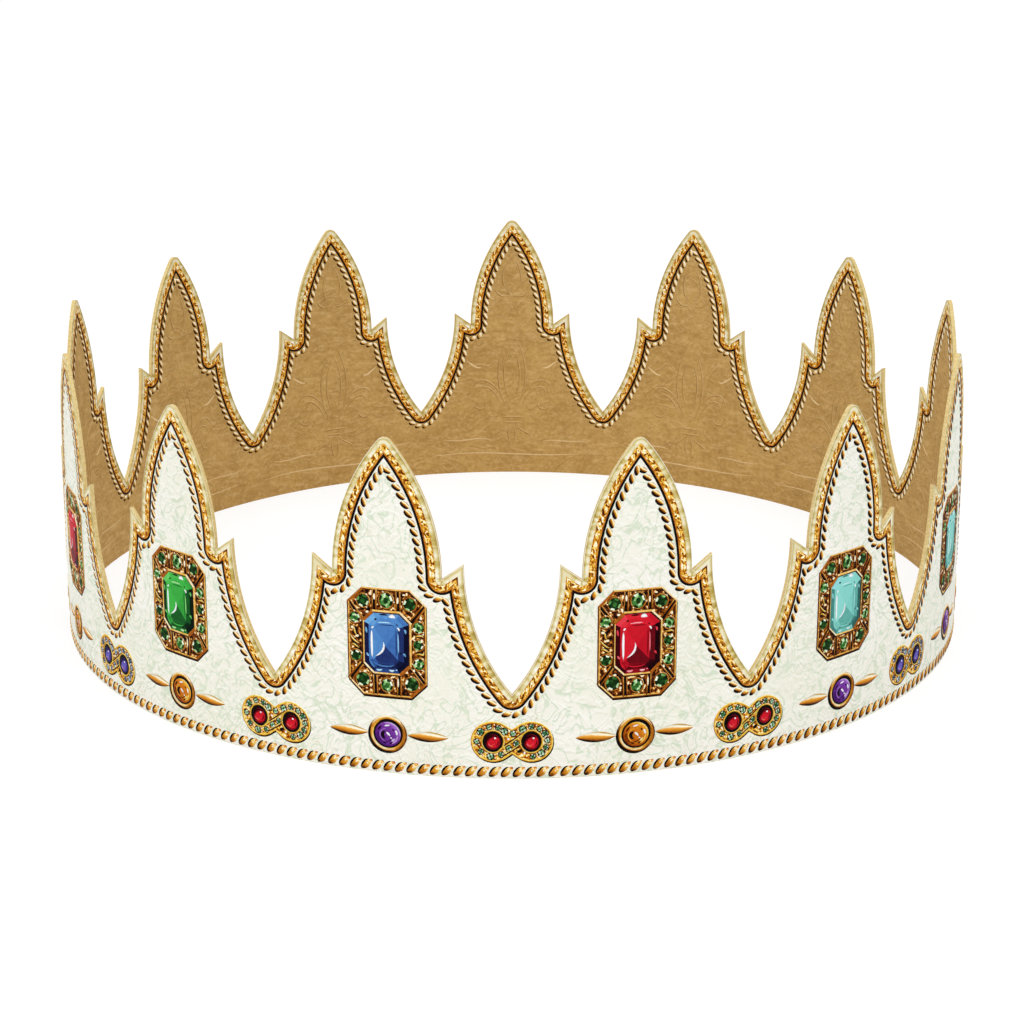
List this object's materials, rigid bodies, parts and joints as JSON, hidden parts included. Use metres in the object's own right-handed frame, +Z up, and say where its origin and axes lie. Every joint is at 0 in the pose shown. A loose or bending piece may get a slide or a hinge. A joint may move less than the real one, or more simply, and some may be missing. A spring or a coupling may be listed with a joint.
{
  "type": "paper crown",
  "caption": "Paper crown: a printed card strip cut to tall pointed arches with small side prongs, closed into a ring by a glued tab, worn on the head.",
  "frame": {"origin": "centre of the ring, on the plane of its lower edge", "axes": "+Z up along the ring's axis, -Y towards the front, +X to the right seen from the front"},
  "size_m": [0.1912, 0.1912, 0.0647],
  "materials": {
    "card": "satin"
  },
  "bodies": {
    "root": {"crown_band": "card"}
  },
  "joints": []
}
